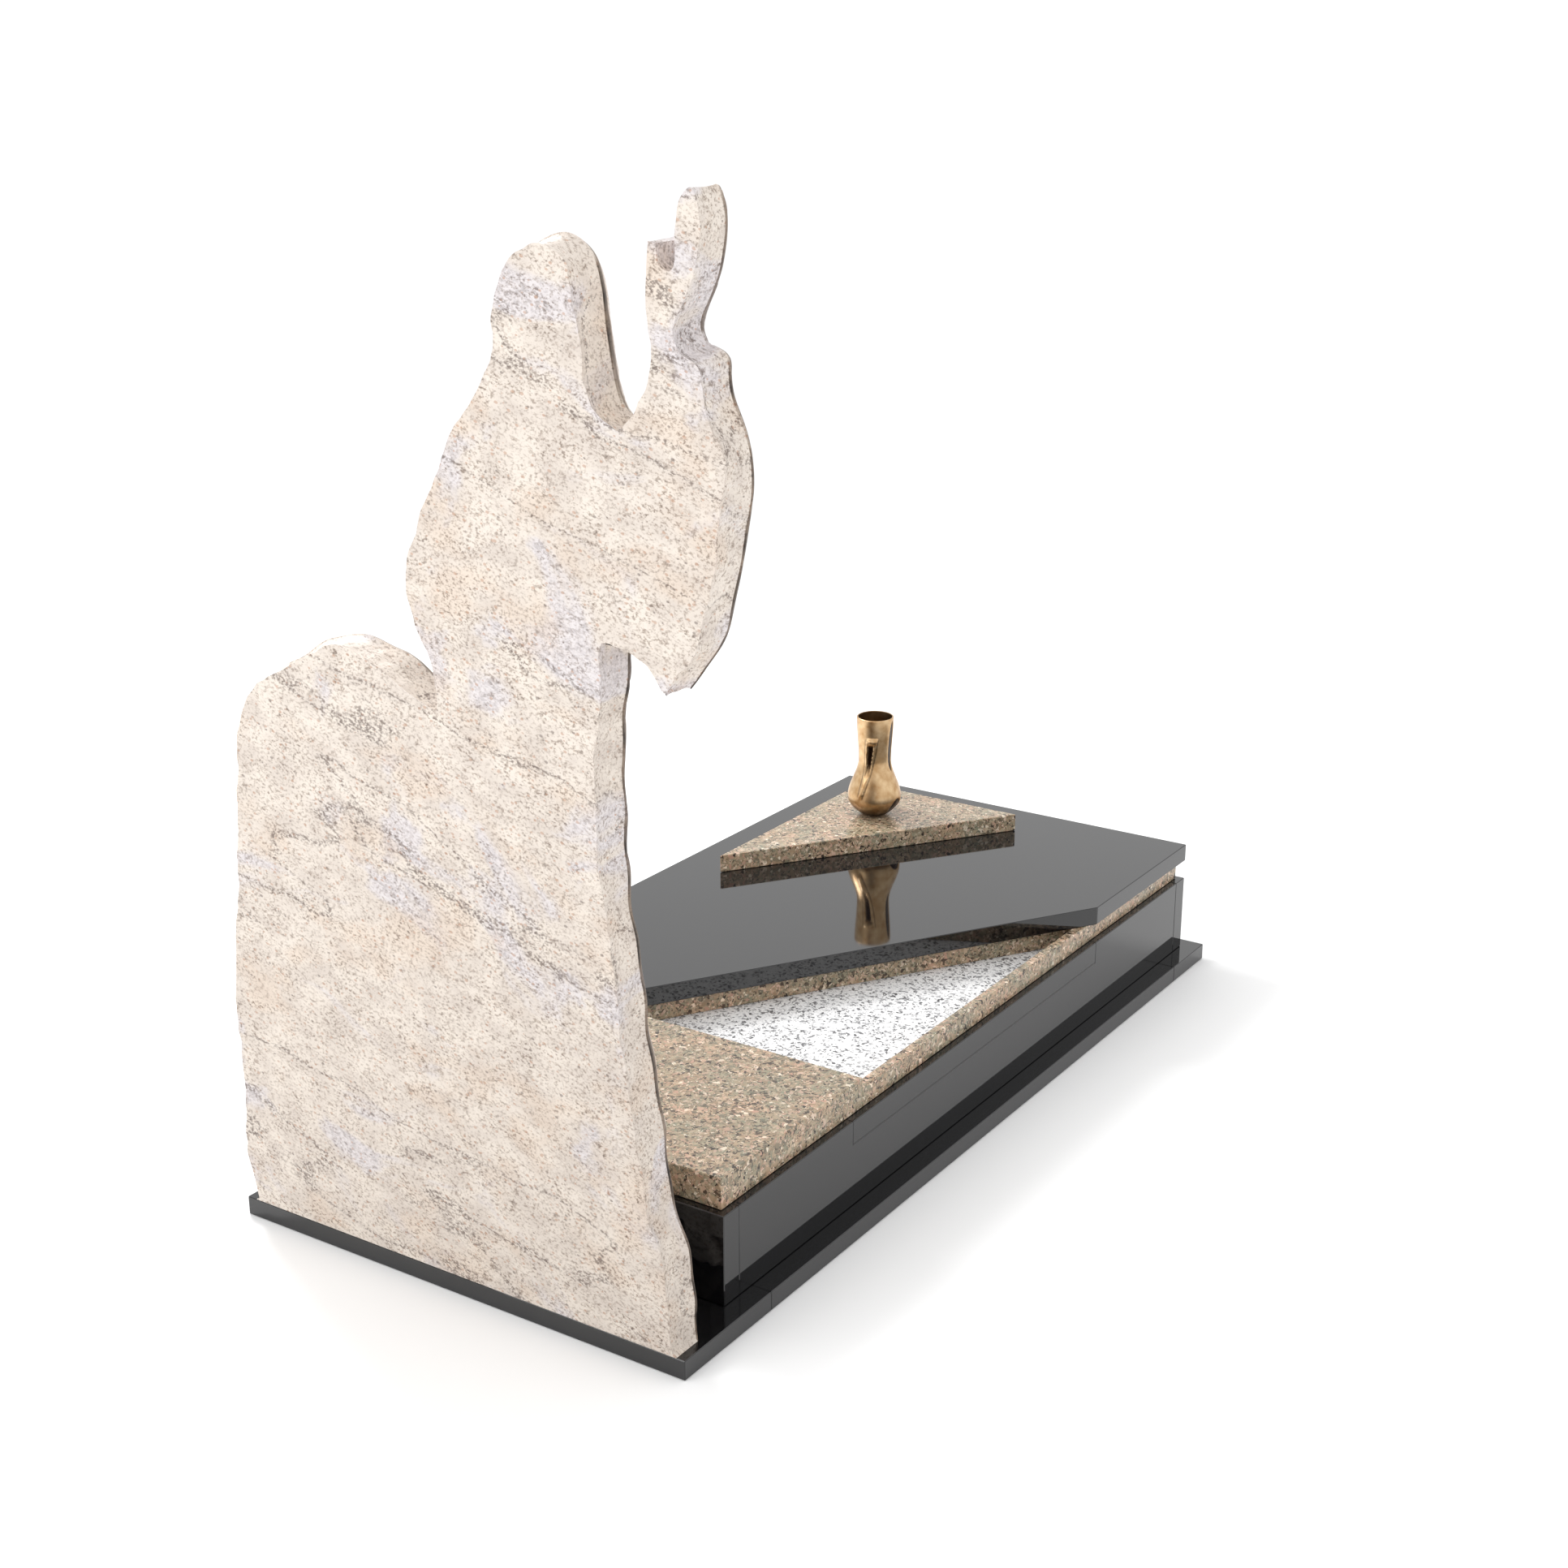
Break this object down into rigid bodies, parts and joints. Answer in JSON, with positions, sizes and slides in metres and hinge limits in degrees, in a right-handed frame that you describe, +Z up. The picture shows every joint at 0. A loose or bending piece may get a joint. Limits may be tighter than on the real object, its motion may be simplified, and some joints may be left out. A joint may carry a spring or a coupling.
{
  "type": "sculpted headstone",
  "caption": "Granite grave memorial: upright slab cut to a robed blessing figure beside a boulder, over a low slab-covered surround with a triangular plinth and a bronze vase.",
  "frame": {"origin": "middle of the head slab's underside, below the headstone", "axes": "+Z up; +Y along the grave towards the head end and the headstone's plain back; the headstone's carved front faces -Y"},
  "size_m": [1.1007, 2.1, 1.9013],
  "materials": {
    "ivory_granite": "honed cream granite with fine dark specks and veins",
    "black_granite": "mirror-polished black granite",
    "brown_granite": "polished brown granite with cream, green and dark grains",
    "white_granite": "white granite with black and grey specks",
    "bronze": "satin gold bronze, darker at the foot"
  },
  "bodies": {
    "root": {"headstone": "ivory_granite", "base_head_slab": "black_granite", "base_side_slab_left": "black_granite", "base_side_slab_right": "black_granite", "base_foot_slab": "black_granite", "kerb_head": "black_granite", "kerb_side_left": "black_granite", "kerb_side_right": "black_granite", "kerb_foot": "black_granite", "deck_slab": "black_granite", "white_panel": "white_granite", "head_cover_slab": "brown_granite", "frame_strip_left": "brown_granite", "frame_strip_right": "brown_granite", "frame_strip_foot": "brown_granite", "frame_strip_diagonal": "brown_granite", "cover_slab": "black_granite", "vase_plinth": "brown_granite", "vase": "bronze"}
  },
  "joints": []
}
